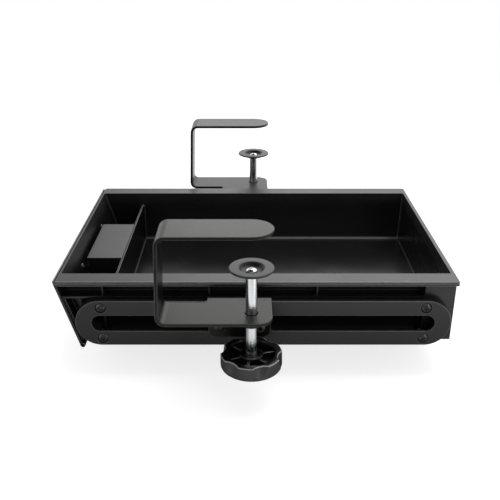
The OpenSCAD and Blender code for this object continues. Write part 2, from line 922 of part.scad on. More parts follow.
on_side(true) rail();  // right_rail
on_side(true) rail_screws();  // right_rail_screws
on_side(true) clamp_bracket(right_rod_x);  // right_clamp_bracket
on_side(true) weld_nut(right_rod_x);  // right_weld_nut
on_side(true) roller(right_rod_x, false);  // right_front_roller
on_side(true) roller(right_rod_x, true);  // right_rear_roller
on_side(true) axle_bolts(right_rod_x);  // right_axle_bolts
on_side(true) axle_washers(right_rod_x);  // right_axle_washers
on_side(true) lock_nuts(right_rod_x);  // right_lock_nuts
on_side(true) pad(right_rod_x, right_desk_gap);  // right_pad
on_side(true) clamp_screw(right_rod_x, right_desk_gap);  // right_clamp_screw
on_side(true) pad_screw(right_rod_x, right_desk_gap);  // right_pad_screw
on_side(true) jam_nut(right_rod_x, right_desk_gap);  // right_jam_nut
on_side(true) knob(right_rod_x, right_desk_gap);  // right_knob

on_side(false) rail();  // left_rail
on_side(false) rail_screws();  // left_rail_screws
on_side(false) clamp_bracket(left_rod_x);  // left_clamp_bracket
on_side(false) weld_nut(left_rod_x);  // left_weld_nut
on_side(false) roller(left_rod_x, false);  // left_front_roller
on_side(false) roller(left_rod_x, true);  // left_rear_roller
on_side(false) axle_bolts(left_rod_x);  // left_axle_bolts
on_side(false) axle_washers(left_rod_x);  // left_axle_washers
on_side(false) lock_nuts(left_rod_x);  // left_lock_nuts
on_side(false) pad(left_rod_x, left_desk_gap);  // left_pad
on_side(false) clamp_screw(left_rod_x, left_desk_gap);  // left_clamp_screw
on_side(false) pad_screw(left_rod_x, left_desk_gap);  // left_pad_screw
on_side(false) jam_nut(left_rod_x, left_desk_gap);  // left_jam_nut
on_side(false) knob(left_rod_x, left_desk_gap);  // left_knob
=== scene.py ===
from math import atan2, cos, hypot, pi, radians, sin, sqrt, tan

import bmesh
import bpy
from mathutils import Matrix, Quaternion, Vector


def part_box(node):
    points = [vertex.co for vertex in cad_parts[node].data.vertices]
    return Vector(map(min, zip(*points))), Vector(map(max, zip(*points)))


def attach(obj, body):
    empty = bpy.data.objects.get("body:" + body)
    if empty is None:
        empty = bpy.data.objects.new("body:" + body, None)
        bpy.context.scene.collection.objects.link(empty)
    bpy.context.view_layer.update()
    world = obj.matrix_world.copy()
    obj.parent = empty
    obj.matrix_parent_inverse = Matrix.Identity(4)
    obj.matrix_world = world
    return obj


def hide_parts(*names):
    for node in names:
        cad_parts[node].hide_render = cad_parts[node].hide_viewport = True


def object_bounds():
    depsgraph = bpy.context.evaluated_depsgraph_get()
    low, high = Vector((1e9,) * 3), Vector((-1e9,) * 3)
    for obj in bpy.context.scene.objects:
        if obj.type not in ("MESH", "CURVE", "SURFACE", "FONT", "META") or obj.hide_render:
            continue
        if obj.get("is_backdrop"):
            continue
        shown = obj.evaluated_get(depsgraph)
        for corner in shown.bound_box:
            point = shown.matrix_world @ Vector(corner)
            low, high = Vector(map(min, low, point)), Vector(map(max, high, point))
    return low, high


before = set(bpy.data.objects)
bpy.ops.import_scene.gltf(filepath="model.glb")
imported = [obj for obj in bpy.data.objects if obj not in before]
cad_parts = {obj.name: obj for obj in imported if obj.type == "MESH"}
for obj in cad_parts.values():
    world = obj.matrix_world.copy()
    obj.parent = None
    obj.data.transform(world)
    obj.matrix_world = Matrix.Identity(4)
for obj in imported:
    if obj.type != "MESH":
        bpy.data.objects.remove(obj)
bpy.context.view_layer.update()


# Tray tub: the moulded box of the drawer, with its wide rim, ribs and screw blocks.
# Injection-moulded black plastic, one shot, satin from the mould. Every edge has a small
# moulding radius, and the thin light line along the edges is partly worn plastic and partly a painted highlight.
# Mark 1: lighter eased edges, partly worn plastic, partly painted highlight; mark 2: fainter painted highlight in
# inside corners.
worn_and_highlit_mark, painted_hollow_highlight_mark = 1, 2
painted_hollow_highlight_level = 0.1


def alone(piece):
    bpy.ops.object.select_all(action="DESELECT")
    piece.select_set(True)
    bpy.context.view_layer.objects.active = piece


def from_solid(node, name):
    piece = bpy.data.objects.new(name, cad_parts[node].data.copy())
    bpy.context.scene.collection.objects.link(piece)
    piece.data.materials.clear()
    alone(piece)
    bpy.ops.mesh.customdata_custom_splitnormals_clear()
    bpy.ops.object.mode_set(mode="EDIT")
    bpy.ops.mesh.select_all(action="SELECT")
    bpy.ops.mesh.remove_doubles(threshold=0.000005)
    bpy.ops.mesh.dissolve_limited(angle_limit=radians(0.4))
    bpy.ops.object.mode_set(mode="OBJECT")
    return piece


def make_room_for_marks(piece):
    while len(piece.data.materials) <= painted_hollow_highlight_mark:
        piece.data.materials.append(None)


def keep_marks(piece):
    form = bmesh.new()
    form.from_mesh(piece.data)
    hollows = {
        face.index for edge in form.edges
        if len(edge.link_faces) == 2 and edge.calc_face_angle_signed() < -0.1
        for face in edge.link_faces
    }
    form.free()
    wear_and_painted_highlight = piece.data.attributes.new("wear_and_painted_highlight", "FLOAT", "FACE")
    for face in piece.data.polygons:
        if face.material_index == painted_hollow_highlight_mark or (face.material_index and face.index in hollows):
            wear_and_painted_highlight.data[face.index].value = painted_hollow_highlight_level
        elif face.material_index:
            wear_and_painted_highlight.data[face.index].value = 1.0
        face.material_index = 0
    piece.data.materials.clear()


def even_out(piece):
    alone(piece)
    bpy.ops.object.shade_smooth_by_angle(angle=radians(38))
    flats = piece.modifiers.new("flat faces", "WEIGHTED_NORMAL")
    flats.keep_sharp = True
    bpy.ops.object.modifier_apply(modifier=flats.name)


def ease_edges(piece, radius, segments=2, from_angle=32, spare=None):
    make_room_for_marks(piece)
    easing = piece.modifiers.new("eased edges", "BEVEL")
    easing.width = radius
    easing.segments = segments
    easing.limit_method = "ANGLE"
    easing.angle_limit = radians(from_angle)
    easing.use_clamp_overlap = False
    easing.material = worn_and_highlit_mark
    easing.miter_outer = "MITER_ARC"
    if spare:
        easing.limit_method = "WEIGHT"
        form = bmesh.new()
        form.from_mesh(piece.data)
        weights = piece.data.attributes.new("bevel_weight_edge", "FLOAT", "EDGE")
        for edge in form.edges:
            sharp = len(edge.link_faces) == 2 and edge.calc_face_angle() > radians(from_angle)
            weights.data[edge.index].value = float(sharp and not spare(edge))
        form.free()
    alone(piece)
    bpy.ops.object.modifier_apply(modifier=easing.name)
    even_out(piece)
    keep_marks(piece)


def round_off(piece, radius, segments, wanted, mark=worn_and_highlit_mark):
    alone(piece)
    make_room_for_marks(piece)
    bpy.ops.object.mode_set(mode="EDIT")
    bpy.ops.mesh.select_mode(type="EDGE")
    bpy.ops.mesh.select_all(action="DESELECT")
    form = bmesh.from_edit_mesh(piece.data)
    for edge in form.edges:
        if len(edge.link_faces) == 2 and wanted(edge):
            edge.select_set(True)
    bmesh.update_edit_mesh(piece.data)
    bpy.ops.mesh.bevel(offset=radius, segments=segments, material=mark)
    bpy.ops.mesh.select_mode(type="VERT")
    bpy.ops.object.mode_set(mode="OBJECT")


def hand_over(piece, material, body, node):
    piece.data.materials.clear()
    piece.data.materials.append(material)
    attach(piece, body)
    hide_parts(node)


def grey(level):
    return (level, level, level, 1)


def new_finish(name):
    material = bpy.data.materials.new(name)
    material.use_nodes = True
    tree = material.node_tree
    place = tree.nodes.new("ShaderNodeTexCoord").outputs["Object"]
    return material, tree, tree.nodes["Principled BSDF"].inputs, place


def feed(tree, socket, value):
    if isinstance(value, bpy.types.NodeSocket):
        tree.links.new(value, socket)
    else:
        socket.default_value = value


def reckon(tree, operation, *values):
    step = tree.nodes.new("ShaderNodeMath")
    step.operation = operation
    for socket, value in zip(step.inputs, values):
        feed(tree, socket, value)
    return step.outputs["Value"]


def ranged(tree, value, low, high, least=0.0, most=1.0, course="LINEAR"):
    step = tree.nodes.new("ShaderNodeMapRange")
    step.interpolation_type = course
    step.inputs["From Min"].default_value = low
    step.inputs["From Max"].default_value = high
    step.inputs["To Min"].default_value = least
    step.inputs["To Max"].default_value = most
    tree.links.new(value, step.inputs["Value"])
    return step.outputs["Result"]


def mixed(tree, share, first, second, kind="RGBA"):
    step = tree.nodes.new("ShaderNodeMix")
    step.data_type = kind
    feed(tree, step.inputs["Factor"], share)
    feed(tree, step.inputs["A"], first)
    feed(tree, step.inputs["B"], second)
    return step.outputs["Result"]


def mottled(tree, place, scale, detail=2):
    cloud = tree.nodes.new("ShaderNodeTexNoise")
    cloud.inputs["Scale"].default_value = scale
    cloud.inputs["Detail"].default_value = detail
    tree.links.new(place, cloud.inputs["Vector"])
    return cloud.outputs["Fac"]


def edge_marks(tree):
    mark = tree.nodes.new("ShaderNodeAttribute")
    mark.attribute_name = "wear_and_painted_highlight"
    return mark.outputs["Fac"]


def raise_grain(tree, skin, height, strength, depth):
    relief = tree.nodes.new("ShaderNodeBump")
    relief.inputs["Strength"].default_value = strength
    relief.inputs["Distance"].default_value = depth
    tree.links.new(height, relief.inputs["Height"])
    tree.links.new(relief.outputs["Normal"], skin["Normal"])


def moulded_black(name, dark, light, wear_and_painted_highlight, gloss, specular, grain, grain_depth=0.00005):
    material, tree, skin, place = new_finish(name)
    flow = mottled(tree, place, 18, 4)
    # Marked faces turn lighter: on edges partly worn plastic and partly a painted highlight, in hollows a fainter
    # painted highlight.
    scuffs = ranged(tree, mottled(tree, place, 260), 0.3, 0.65, 0.7, 1.0)
    edge_lightening = reckon(tree, "MULTIPLY", edge_marks(tree), scuffs)
    tint = mixed(tree, flow, grey(dark), grey(light))
    feed(tree, skin["Base Color"], mixed(tree, edge_lightening, tint, grey(wear_and_painted_highlight)))
    feed(tree, skin["Roughness"], ranged(tree, flow, 0.3, 0.7, gloss - 0.03, gloss + 0.03))
    skin["Specular IOR Level"].default_value = specular
    raise_grain(tree, skin, mottled(tree, place, grain), 0.35, grain_depth)
    return material


tub_specular = 0.6
tub_plastic = moulded_black(
    "satin black tub plastic", dark=0.0035, light=0.0065, wear_and_painted_highlight=0.26, gloss=0.4, specular=tub_specular, grain=900,
)
tree = tub_plastic.node_tree
skin = tree.nodes["Principled BSDF"].inputs
spot = tree.nodes.new("ShaderNodeSeparateXYZ")
tree.links.new(tree.nodes["Texture Coordinate"].outputs["Object"], spot.inputs["Vector"])
rim_finish = skin["Roughness"].links[0].from_socket
polish_from, polish_to, polish = 0.062, 0.052, -0.15
inside_polish = ranged(tree, spot.outputs["Z"], polish_from, polish_to, 0.0, polish)
feed(tree, skin["Roughness"], reckon(tree, "ADD", rim_finish, inside_polish))
# Low on the outer sides behind the rails the specular level drops almost to nothing: painted shade in the recess
# behind the rails.
rail_shade_box = (("Z", 0.049, 0.046), ("X", 0.1655, 0.1625), ("Y", 0.1095, 0.1102))
shade_specular = 0.05
shade_behind_rail = 1.0
for axis, start, full in rail_shade_box:
    within = ranged(tree, reckon(tree, "ABSOLUTE", spot.outputs[axis]), start, full)
    shade_behind_rail = reckon(tree, "MULTIPLY", within, shade_behind_rail)
feed(tree, skin["Specular IOR Level"], ranged(tree, shade_behind_rail, 0.0, 1.0, tub_specular, shade_specular))

tub = from_solid("tray_tub", "moulded_tub")
rim_low, rim_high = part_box("tray_tub")
inner_low, inner_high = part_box("divider")
rail_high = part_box("right_rail")[1]
shelf_y, shelf_z = -rail_high.y, rail_high.z
front_edge_x = -0.1785
front_edge_z = rim_high.z - 0.004


def inside_corner(edge):
    ends = [corner.co for corner in edge.verts]
    if edge.calc_face_angle_signed() > -0.5 or all(abs(p.x - inner_high.x) < 0.003 for p in ends):
        return False
    return all(abs(p.y) < inner_high.y + 0.0002 and p.z > inner_low.z - 0.0002 for p in ends)


def front_seam(edge):
    return all(p.co.z > rim_high.z - 0.0001 and p.co.x < rim_low.x + 0.0002 for p in edge.verts)


def shelf_edge(edge):
    return all(abs(abs(p.co.y) - shelf_y) < 0.0003 and abs(p.co.z - shelf_z) < 0.0003 for p in edge.verts)


def thin_front_edge(edge):
    return all(p.co.x < front_edge_x and p.co.z > front_edge_z for p in edge.verts)


round_off(tub, 0.0012, 4, inside_corner, painted_hollow_highlight_mark)
round_off(tub, 0.0008, 3, front_seam)
round_off(tub, 0.0011, 4, shelf_edge)
ease_edges(tub, 0.0005, spare=thin_front_edge)

# Under the rim on the outer sides the lighter edge colour is cut to 65% as painted shade; the guide ribs' tops get
# the full lighter colour as a painted highlight.
below_rim_z, under_rim_shade_share = rim_high.z - 0.0045, 0.65
marks = tub.data.attributes["wear_and_painted_highlight"].data
for face in tub.data.polygons:
    at = face.center
    outer_side = abs(at.y) > shelf_y - 0.013
    guide_rib_top = face.normal.z > 0.9 and 0.045 < at.z < 0.06 and -0.15 < at.x < -0.12
    if outer_side and at.z < below_rim_z:
        marks[face.index].value *= under_rim_shade_share
    elif guide_rib_top:
        marks[face.index].value = 1.0

# A groove runs round the outside of the lip below the top edge; the band of faces under it gets most of the lighter
# edge colour as a painted highlight line.
groove_low, groove_high, groove_depth = rim_high.z - 0.0016, rim_high.z - 0.0007, 0.001
highlight_line_low = groove_low - 0.0006
highlight_line_level = 0.8
alone(tub)
bpy.ops.object.mode_set(mode="EDIT")
for z in (highlight_line_low, groove_low, groove_high):
    bpy.ops.mesh.select_all(action="SELECT")
    bpy.ops.mesh.bisect(plane_co=(0, 0, z), plane_no=(0, 0, 1))
bpy.ops.mesh.select_mode(type="FACE")
bpy.ops.mesh.select_all(action="DESELECT")
form = bmesh.from_edit_mesh(tub.data)
wear_and_painted_highlight = form.faces.layers.float["wear_and_painted_highlight"]
for face in form.faces:
    at = face.calc_center_median()
    outside = abs(at.y) > rim_high.y - 0.0002 or at.x > rim_high.x - 0.0002
    if outside and groove_low < at.z < groove_high:
        face.select_set(True)
    elif outside and highlight_line_low < at.z < groove_low:
        face[wear_and_painted_highlight] = highlight_line_level
bmesh.update_edit_mesh(tub.data)
bpy.ops.mesh.extrude_region_shrink_fatten(TRANSFORM_OT_shrink_fatten={"value": -groove_depth})
bpy.ops.mesh.select_mode(type="VERT")
bpy.ops.object.mode_set(mode="OBJECT")
even_out(tub)
hand_over(tub, tub_plastic, "drawer", "tray_tub")


# Front panel: a separate leaning plate across the drawer's front, with a round bead below.
# The same black plastic as the tub, moulded flat and screwed on from inside the drawer.
def cut_away(piece, cutter, operation="DIFFERENCE"):
    alone(piece)
    cutting = piece.modifiers.new("cut", "BOOLEAN")
    cutting.operation = operation
    cutting.solver = "EXACT"
    cutting.object = cutter
    bpy.ops.object.modifier_apply(modifier=cutting.name)
    bpy.data.objects.remove(cutter)


def block(name, low, high):
    bpy.ops.object.select_all(action="DESELECT")
    bpy.ops.mesh.primitive_cube_add(size=1, location=[(a + b) / 2 for a, b in zip(low, high)])
    piece = bpy.context.object
    piece.name = piece.data.name = name
    piece.scale = [b - a for a, b in zip(low, high)]
    bpy.ops.object.transform_apply(location=True, rotation=True, scale=True)
    return piece


panel = from_solid("front_panel", "leaning_front_panel")
panel_low, panel_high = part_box("front_panel")
lip, rebate_back, rebate_depth, past = 0.0014, 0.008, 0.002, 0.001
rebate_low = (panel_low.x + lip, panel_low.y - past, panel_high.z - rebate_depth)
rebate_high = (panel_low.x + rebate_back, panel_high.y + past, panel_high.z + past)
cut_away(panel, block("rebate", rebate_low, rebate_high))
ease_edges(panel, 0.0004, 3)
hand_over(panel, tub_plastic, "drawer", "front_panel")


# Pull cup: the closed box behind the finger opening, stepped back from the front wall above.
# A thin black moulding, bonded to the inside of the front wall round the opening.
cup_plastic = moulded_black(
    "satin black cup plastic", dark=0.0016, light=0.003, wear_and_painted_highlight=0.04, gloss=0.4, specular=0.7, grain=1100,
)
cup = from_solid("pull_cup", "finger_pull_cup")
ease_edges(cup, 0.0006)
hand_over(cup, cup_plastic, "drawer", "pull_cup")


# Bond line: the bead of adhesive on the cup's step, where the cup is glued to the front wall.
# Black contact adhesive, laid on as a bead and cured matt; its very dark, barely reflecting top is also painted shade
# in the gap between the front wall and the cup.
adhesive_and_gap_shade = moulded_black(
    "matt black adhesive", dark=0.0012, light=0.0024, wear_and_painted_highlight=0.006, gloss=0.85, specular=0.1,
    grain=500, grain_depth=0.0001,
)
lean = radians(16.4)
panel_and_wall = 0.0044


def inner_wall_x(z):
    return panel_low.x + (panel_high.z - z) * tan(lean) + panel_and_wall / cos(lean)


step_z, step_depth, bead_height = 0.0455, 0.0049, 0.0006
step_x = inner_wall_x(step_z)
cup_low, cup_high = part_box("pull_cup")
bead_low = (step_x, cup_low.y, step_z)
bead_high = (step_x + step_depth, cup_high.y, step_z + bead_height)
bead = block("cup_bond_line_and_gap_shade", bead_low, bead_high)
ease_edges(bead, 0.0003, 3)
bead.data.materials.append(adhesive_and_gap_shade)
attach(bead, "drawer")


# Cup screws: four small pan-head screws beside the cup that hold the panel to the front wall.
# Cold-headed steel with a black oxide skin and a cross recess.
def drawn_line(name, points):
    bpy.ops.object.select_all(action="DESELECT")
    bpy.ops.mesh.primitive_plane_add(size=0.001, location=(0, 0, 0))
    piece = bpy.context.object
    piece.name = piece.data.name = name
    bpy.ops.object.mode_set(mode="EDIT")
    bpy.ops.mesh.select_all(action="SELECT")
    bpy.ops.mesh.merge(type="CENTER")
    bpy.ops.transform.translate(value=points[0])
    for start, end in zip(points, points[1:]):
        move = [b - a for a, b in zip(start, end)]
        bpy.ops.mesh.extrude_vertices_move(TRANSFORM_OT_translate={"value": move})
    bpy.ops.mesh.select_all(action="SELECT")
    return piece


def turned(name, profile, steps=64):
    piece = drawn_line(name, [(r, 0, z) for r, z in profile])
    bpy.ops.mesh.spin(steps=steps, angle=2 * pi, center=(0, 0, 0), axis=(0, 0, 1))
    bpy.ops.mesh.select_all(action="SELECT")
    bpy.ops.mesh.remove_doubles(threshold=0.000002)
    bpy.ops.mesh.normals_make_consistent(inside=False)
    bpy.ops.object.mode_set(mode="OBJECT")
    return piece


def dome(radius, height, rise, rings):
    ball = (radius ** 2 + rise ** 2) / (2 * rise)
    points = []
    for i in range(rings + 1):
        r = radius * (1 - i / rings)
        points.append((r, height - rise + sqrt(ball ** 2 - r ** 2) - (ball - rise)))
    return points


def cross_head(name, head_r, head_h, shank_r, shank_l):
    shank = [(0, -shank_l), (shank_r * 0.6, -shank_l), (shank_r, -shank_l + shank_r * 0.5), (shank_r, 0)]
    screw = turned(name, shank + [(head_r, 0)] + dome(head_r, head_h, head_h * 0.72, 7), 48)
    reach, half, floor = head_r * 0.52, head_r * 0.11, head_h * 0.42
    for x, y in ((reach, half), (half, reach)):
        cut_away(screw, block("slot", (-x, -y, floor), (x, y, head_h * 2)))
    ease_edges(screw, head_r * 0.03)
    return screw


def set_at(piece, at):
    piece.location = at
    alone(piece)
    bpy.ops.object.transform_apply(location=True, rotation=True, scale=True)


def put(pattern, name, at, pointing, turn=0.0):
    piece = pattern.copy()
    piece.data = pattern.data.copy()
    piece.name = piece.data.name = name
    bpy.context.scene.collection.objects.link(piece)
    up = Vector((0, 0, 1))
    piece.rotation_mode = "QUATERNION"
    piece.rotation_quaternion = up.rotation_difference(Vector(pointing)) @ Quaternion(up, turn)
    set_at(piece, at)
    piece.rotation_mode = "XYZ"
    return piece


def as_one(name, pieces):
    bpy.ops.object.select_all(action="DESELECT")
    for piece in pieces:
        piece.select_set(True)
    bpy.context.view_layer.objects.active = pieces[0]
    bpy.ops.object.join()
    pieces[0].name = pieces[0].data.name = name
    return pieces[0]


def bare_metal(name, dark, light, gloss, uneven, mottle_and_reflection_stretch, grain_depth, drawn=0.4):
    material, tree, skin, place = new_finish(name)
    skin["Metallic"].default_value = 1
    stretch = tree.nodes.new("ShaderNodeMapping")
    stretch.inputs["Scale"].default_value = mottle_and_reflection_stretch
    tree.links.new(place, stretch.inputs["Vector"])
    # Noise stretched evenly gives random mottle; stretched along one axis it lays long stripes of colour, on the
    # spindle partly draw marks and partly painted reflections.
    cloud = mottled(tree, stretch.outputs["Vector"], 1, 5)
    edges = ranged(tree, tree.nodes.new("ShaderNodeNewGeometry").outputs["Pointiness"], 0.42, 0.58)
    mottle_and_reflection_stripes = reckon(tree, "MULTIPLY", ranged(tree, cloud, 0.4, 0.58), drawn)
    bright = reckon(tree, "MULTIPLY_ADD", edges, 1 - drawn, mottle_and_reflection_stripes)
    feed(tree, skin["Base Color"], mixed(tree, bright, (*dark, 1), (*light, 1)))
    feed(tree, skin["Roughness"], ranged(tree, cloud, 0.3, 0.7, gloss - uneven, gloss + uneven))
    raise_grain(tree, skin, cloud, 0.2, grain_depth)
    return material


black_oxide = bare_metal(
    "black oxide steel", dark=(0.02, 0.02, 0.02), light=(0.11, 0.11, 0.112), gloss=0.3, uneven=0.06,
    mottle_and_reflection_stretch=(900, 900, 900), grain_depth=0.00003,
)
inward = (cos(lean), 0, sin(lean))
low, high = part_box("cup_screws")
cup_head = 0.0033
screw_rows = (0.0485, 0.0225)
pattern = cross_head("cup_screw_pattern", cup_head, 0.00165, 0.0015, 0.0036)
screws = []
for y in (low.y + cup_head, high.y - cup_head):
    for z in screw_rows:
        turn = 0.5 + 1.3 * len(screws)
        screws.append(put(pattern, "cup_screw", (inner_wall_x(z), y, z), inward, turn))
bpy.data.objects.remove(pattern)
cup_screws = as_one("panel_screw_set", screws)
hand_over(cup_screws, black_oxide, "drawer", "cup_screws")


# Divider: the upright strip between the pen space and the main space, with a small cove at its foot.
# A flat black moulding with its lower corners rounded to the tub's floor, pushed into place.
def cove(name, radius, length):
    arc = [(radius - radius * sin(i * pi / 16), radius * cos(i * pi / 16) - radius, 0) for i in range(9)]
    piece = drawn_line(name, arc + [(0, 0, 0)])
    bpy.ops.mesh.edge_face_add()
    bpy.ops.mesh.extrude_region_move(TRANSFORM_OT_translate={"value": (0, 0, length)})
    bpy.ops.mesh.select_all(action="SELECT")
    bpy.ops.mesh.normals_make_consistent(inside=False)
    bpy.ops.object.mode_set(mode="OBJECT")
    bpy.ops.object.shade_smooth_by_angle(angle=radians(38))
    return piece


low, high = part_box("divider")
high.z = cup_high.z
corner_r, foot_r = 0.004, 0.0016
side_highlight_share, foot_highlight_level = 0.2, 0.16
divider = block("pen_space_divider", low, high)
bpy.ops.object.mode_set(mode="EDIT")
bpy.ops.mesh.select_mode(type="EDGE")
bpy.ops.mesh.select_all(action="DESELECT")
bpy.ops.object.mode_set(mode="OBJECT")
for edge in divider.data.edges:
    a, b = (divider.data.vertices[i].co for i in edge.vertices)
    edge.select = abs(a.x - b.x) > 0.001 and a.z < (low.z + high.z) / 2
bpy.ops.object.mode_set(mode="EDIT")
bpy.ops.mesh.bevel(offset=corner_r, segments=8)
bpy.ops.mesh.select_mode(type="VERT")
bpy.ops.object.mode_set(mode="OBJECT")
ease_edges(divider, 0.0004)
# The divider's top keeps the full lighter edge colour as a painted highlight, its lower faces a fifth of it; the cove
# at its foot gets a faint painted highlight.
marks = divider.data.attributes["wear_and_painted_highlight"].data
for face in divider.data.polygons:
    if face.center.z < high.z - 0.001:
        marks[face.index].value *= side_highlight_share
pattern = cove("divider_foot_pattern", foot_r, high.y - low.y - 2 * corner_r)
foot = put(pattern, "divider_foot", (high.x, low.y + corner_r, low.z), (0, 1, 0))
bpy.data.objects.remove(pattern)
for mark in foot.data.attributes.new("wear_and_painted_highlight", "FLOAT", "FACE").data:
    mark.value = foot_highlight_level
divider = as_one("pen_space_divider", [divider, foot])
divider_plastic = moulded_black(
    "satin black divider plastic", dark=0.0016, light=0.003, wear_and_painted_highlight=0.3, gloss=0.45, specular=0.1, grain=1000,
)
hand_over(divider, divider_plastic, "drawer", "divider")


# Rails: the slotted runners on the long sides, with round ends and a skirt behind the face.
# Moulded in a harder black plastic, a little smoother than the tub, each held by four screws.
rail_plastic = moulded_black(
    "satin black rail plastic", dark=0.0016, light=0.0028, wear_and_painted_highlight=0.06, gloss=0.36, specular=0.6, grain=1000,
)
for side in ("right", "left"):
    rail = from_solid(side + "_rail", side + "_slotted_rail")
    ease_edges(rail, 0.0007, 3)
    hand_over(rail, rail_plastic, "drawer", side + "_rail")


# Rail screws: four domed cross-head screws through each rail into the tub's blocks.
# Cold-headed steel with a black oxide skin, sunk in a shallow seat in the rail's face.
rail_head, rail_head_h = 0.0047, 0.0026
pattern = cross_head("rail_screw_pattern", rail_head, rail_head_h, 0.002, 0.016)
for side, out in (("right", -1), ("left", 1)):
    low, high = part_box(side + "_rail_screws")
    face_y = high.y if out > 0 else low.y
    screws = []
    for x in (low.x + rail_head, high.x - rail_head):
        for z in (low.z + rail_head, high.z - rail_head):
            seat = (x, face_y - out * rail_head_h, z)
            screws.append(put(pattern, "rail_screw", seat, (0, out, 0), 0.3 + 0.9 * len(screws)))
    set_of_four = as_one(side + "_rail_screw_set", screws)
    hand_over(set_of_four, black_oxide, "drawer", side + "_rail_screws")
bpy.data.objects.remove(pattern)


# Clamp brackets: the C-shaped clamps with a top jaw, an upright, a lower plate and a tab.
# Each is one strip of 3 mm steel, cut, bent and powder coated in fine-textured black.
def powder_coat(name, dark, light, wear_and_painted_highlight):
    material, tree, skin, place = new_finish(name)
    speckle = tree.nodes.new("ShaderNodeTexVoronoi")
    speckle.inputs["Scale"].default_value = 1500
    tree.links.new(place, speckle.inputs["Vector"])
    cloud = mottled(tree, place, 700, 4)
    tint = mixed(tree, cloud, (*dark, 1), (*light, 1))
    # The eased edges turn lighter: partly worn-through coat and partly a painted highlight.
    edge_lightening = reckon(tree, "MULTIPLY", edge_marks(tree), cloud)
    feed(tree, skin["Base Color"], mixed(tree, edge_lightening, tint, (*wear_and_painted_highlight, 1)))
    feed(tree, skin["Roughness"], ranged(tree, cloud, 0.3, 0.7, 0.28, 0.36))
    skin["Specular IOR Level"].default_value = 0.28
    skin["Specular Tint"].default_value = (1, 1, 0.96, 1)
    orange_peel = reckon(tree, "ADD", speckle.outputs["Distance"], cloud)
    raise_grain(tree, skin, orange_peel, 0.6, 0.0001)
    return material


black_coat = powder_coat(
    "fine black powder coat", dark=(0.002, 0.002, 0.0019), light=(0.0045, 0.0044, 0.0042), wear_and_painted_highlight=(0.1, 0.098, 0.094),
)
plate_z = 0.055


def notch_corner(edge):
    a, b = (corner.co for corner in edge.verts)
    upright = abs(a.z - b.z) > 0.002 and abs(a.x - b.x) < 0.0003 and abs(a.y - b.y) < 0.0003
    return upright and min(a.z, b.z) > plate_z and edge.calc_face_angle_signed() < -0.8


for side in ("right", "left"):
    bracket = from_solid(side + "_clamp_bracket", side + "_bent_clamp")
    round_off(bracket, 0.0025, 5, notch_corner)
    ease_edges(bracket, 0.0006, 3)
    hand_over(bracket, black_coat, side + "_clamp", side + "_clamp_bracket")


# Weld nuts: the hexagon nuts under the lower plates that the clamp screws run in.
# Plain steel nuts, resistance welded and powder coated together with the clamp.
def middle(low, high, z):
    return ((low.x + high.x) / 2, (low.y + high.y) / 2, z)


def hexagon_nut(name, flats, height, bore):
    corner = flats / 2 / cos(pi / 6)
    end_r = flats / 2 * 0.96
    chamfer = (corner - end_r) * 0.6
    sink = bore * 0.12
    hair, past = 0.00001, 0.001
    bpy.ops.object.select_all(action="DESELECT")
    bpy.ops.mesh.primitive_cylinder_add(
        vertices=6, radius=corner, depth=height, location=(0, 0, height / 2), rotation=(0, 0, radians(30)),
    )
    nut = bpy.context.object
    nut.name = nut.data.name = name
    bpy.ops.object.transform_apply(location=True, rotation=True, scale=True)
    barrel = turned("barrel", [
        (0, -hair), (end_r, -hair), (corner + 0.0001, chamfer),
        (corner + 0.0001, height - chamfer), (end_r, height + hair), (0, height + hair),
    ], 96)
    cut_away(nut, barrel, "INTERSECT")
    drill = turned("drill", [
        (0, -past), (bore + sink + past, -past), (bore, sink), (bore, height - sink),
        (bore + sink + past, height + past), (0, height + past),
    ])
    cut_away(nut, drill)
    ease_edges(nut, 0.00012)
    return nut


for side in ("right", "left"):
    low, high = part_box(side + "_weld_nut")
    pattern = hexagon_nut("weld_nut_pattern", high.y - low.y, high.z - low.z, 0.00505)
    nut = put(pattern, side + "_welded_nut", middle(low, high, low.z), (0, 0, 1))
    bpy.data.objects.remove(pattern)
    hand_over(nut, black_coat, side + "_clamp", side + "_weld_nut")


# Axle bolts: two button-head bolts through each tab, which carry the rollers.
# Turned and cold-headed steel with a hexagon socket and a black oxide skin.
axle_head, axle_head_h = 0.0055, 0.0026
axle_r, axle_chamfer = 0.003, 0.0004
key_flats, key_length = 0.004, 0.004
for side, out in (("right", -1), ("left", 1)):
    low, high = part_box(side + "_axle_bolts")
    shank_l = (high.y - low.y) - axle_head_h
    shank = [(0, -shank_l), (axle_r - axle_chamfer, -shank_l), (axle_r, -shank_l + axle_chamfer), (axle_r, 0)]
    button = [(axle_head, 0)] + dome(axle_head, axle_head_h, axle_head_h * 0.8, 8)
    bolt = turned("axle_bolt_pattern", shank + button)
    bpy.ops.object.select_all(action="DESELECT")
    bpy.ops.mesh.primitive_cylinder_add(
        vertices=6, radius=key_flats / 2 / cos(pi / 6), depth=key_length,
        location=(0, 0, axle_head_h / 2 + key_length / 2),
    )
    key = bpy.context.object
    bpy.ops.object.transform_apply(location=True, rotation=True, scale=True)
    cut_away(bolt, key)
    ease_edges(bolt, 0.0002, 3)
    face_y = high.y if out > 0 else low.y
    bolts = [
        put(bolt, "axle_bolt", (x, face_y - out * axle_head_h, (low.z + high.z) / 2), (0, out, 0), 0.25 + 0.8 * i)
        for i, x in enumerate((low.x + axle_head, high.x - axle_head))
    ]
    bpy.data.objects.remove(bolt)
    pair = as_one(side + "_axle_bolt_pair", bolts)
    hand_over(pair, black_oxide, side + "_clamp", side + "_axle_bolts")


